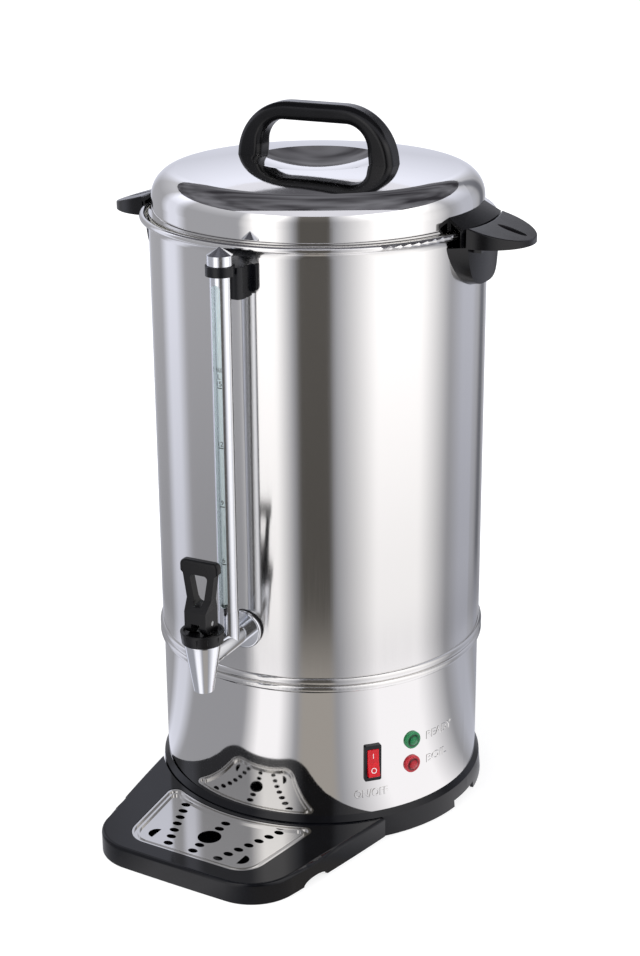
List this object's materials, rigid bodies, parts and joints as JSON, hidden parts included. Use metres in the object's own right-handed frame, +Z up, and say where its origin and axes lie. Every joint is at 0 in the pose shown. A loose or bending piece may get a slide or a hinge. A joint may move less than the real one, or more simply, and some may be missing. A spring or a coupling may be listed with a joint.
{
  "type": "coffee urn",
  "caption": "Tall stainless steel percolator urn with a bayonet lid, black side handles, front tap with a sight gauge, rocker switch, lamps and a slide-in drip tray.",
  "frame": {"origin": "on the tank's axis at table level, under the middle of the round vessel", "axes": "+Z up along the tank's axis; the tap and drip tray face -Y; the side handles and the lid handle lie along X"},
  "size_m": [0.379, 0.3907, 0.601],
  "materials": {
    "stainless_tank": "polished stainless steel with fine vertical brushing",
    "stainless_inner": "plain stainless steel",
    "stainless_lid": "mirror polished stainless steel",
    "stainless_grid": "polished pressed stainless steel",
    "chrome": "polished chrome plating",
    "black_plastic": "semi-gloss moulded plastic",
    "black_phenolic": "polished phenolic",
    "black_nylon": "satin moulded nylon",
    "black_rubber": "matt rubber",
    "silicone": "translucent white silicone",
    "glass_tube": "clear borosilicate tube",
    "red_rocker": "translucent red moulding",
    "green_lens": "translucent green lens",
    "red_lens": "translucent red lens",
    "steel": "zinc plated steel",
    "element_sheath": "annealed sheath, heat tinted",
    "ceramic": "glazed steatite",
    "brass": "plain brass",
    "lead_wire": "silicone insulated wire"
  },
  "bodies": {
    "urn": {"tank_wall": "stainless_tank", "tank_floor": "stainless_inner", "skirt_shell": "stainless_tank", "base_ring": "black_plastic", "rubber_feet": "black_rubber", "bottom_plate": "steel", "bottom_screws": "steel", "heating_element": "element_sheath", "keep_warm_element": "element_sheath", "heater_clamp": "steel", "tie_stud": "steel", "tie_nuts": "steel", "thermostat": "ceramic", "thermal_cutout": "ceramic", "sensor_straps": "steel", "terminal_block": "ceramic", "internal_leads": "lead_wire", "power_inlet": "black_nylon", "inlet_pins": "brass", "inlet_screws": "steel", "switch_bezel": "black_nylon", "lamp_ready": "green_lens", "lamp_boil": "red_lens", "lamp_clips": "steel", "tap_body": "chrome", "tap_gasket": "black_rubber", "tap_washer": "silicone", "tap_backnut": "brass", "tap_collar": "black_phenolic", "tap_spring": "steel", "gauge_shield": "chrome", "gauge_glass": "glass_tube", "gauge_lower_seal": "silicone", "gauge_upper_seal": "silicone", "gauge_bracket": "black_plastic", "gauge_bracket_screw": "steel", "side_handle_right": "black_phenolic", "side_handle_left": "black_phenolic", "side_handle_plates": "stainless_inner", "side_handle_screws": "steel"},
    "seal": {"lid_seal": "silicone"},
    "lid": {"lid_shell": "stainless_lid", "lid_handle": "black_phenolic", "lid_handle_screws": "steel", "lid_lug_right": "black_phenolic", "lid_lug_left": "black_phenolic", "lid_lug_rivets": "steel"},
    "valve_stem": {"tap_stem": "steel", "tap_seat_cup": "silicone", "tap_pin": "steel"},
    "lever": {"tap_lever": "black_phenolic"},
    "rocker": {"switch_rocker": "red_rocker"},
    "cap": {"gauge_cap": "chrome"},
    "pump": {"pump_tube": "stainless_inner", "pump_base": "stainless_inner"},
    "basket": {"coffee_basket": "stainless_inner"},
    "cover": {"basket_cover": "stainless_inner"},
    "tray": {"drip_tray": "black_plastic"},
    "grid": {"drip_grid": "stainless_grid"}
  },
  "joints": [
    {"name": "lid_lift", "type": "slide", "parent": "urn", "child": "seal", "axis": [0, 0, 1], "range_m": [0, 0.15]},
    {"name": "lid_turn", "type": "hinge", "parent": "seal", "child": "lid", "pos_m": [0, 0, 0.512], "axis": [0, 0, 1], "range_deg": [0, 13]},
    {"name": "stem_lift", "type": "slide", "parent": "urn", "child": "valve_stem", "axis": [0, 0, 1], "range_m": [0, 0.00196], "stiffness_N_per_m": 800, "springref_m": -0.004, "deforming": ["tap_spring"]},
    {"name": "lever_tilt", "type": "hinge", "parent": "valve_stem", "child": "lever", "pos_m": [0, -0.2085, 0.2258], "axis": [1, 0, 0], "range_deg": [0, 45]},
    {"name": "rocker_rock", "type": "hinge", "parent": "urn", "child": "rocker", "pos_m": [0.09722, -0.09962, 0.0709], "axis": [0.7157, 0.6984, 0], "range_deg": [0, 18]},
    {"name": "cap_lift", "type": "slide", "parent": "urn", "child": "cap", "axis": [0, 0, 1], "range_m": [0, 0.03]},
    {"name": "pump_lift", "type": "slide", "parent": "urn", "child": "pump", "axis": [0, 0, 1], "range_m": [0, 0.02]},
    {"name": "basket_lift", "type": "slide", "parent": "pump", "child": "basket", "axis": [0, 0, 1], "range_m": [0, 0.02]},
    {"name": "cover_lift", "type": "slide", "parent": "basket", "child": "cover", "axis": [0, 0, 1], "range_m": [0, 0.02]},
    {"name": "tray_slide", "type": "slide", "parent": "urn", "child": "tray", "axis": [-0.0663, -0.9978, 0], "range_m": [0, 0.08]},
    {"name": "grid_lift", "type": "slide", "parent": "tray", "child": "grid", "axis": [0, 0, 1], "range_m": [0, 0.06]}
  ],
  "couplings": [
    {"joint": "lever_tilt", "follows": "stem_lift", "rad_per_m": 400}
  ]
}
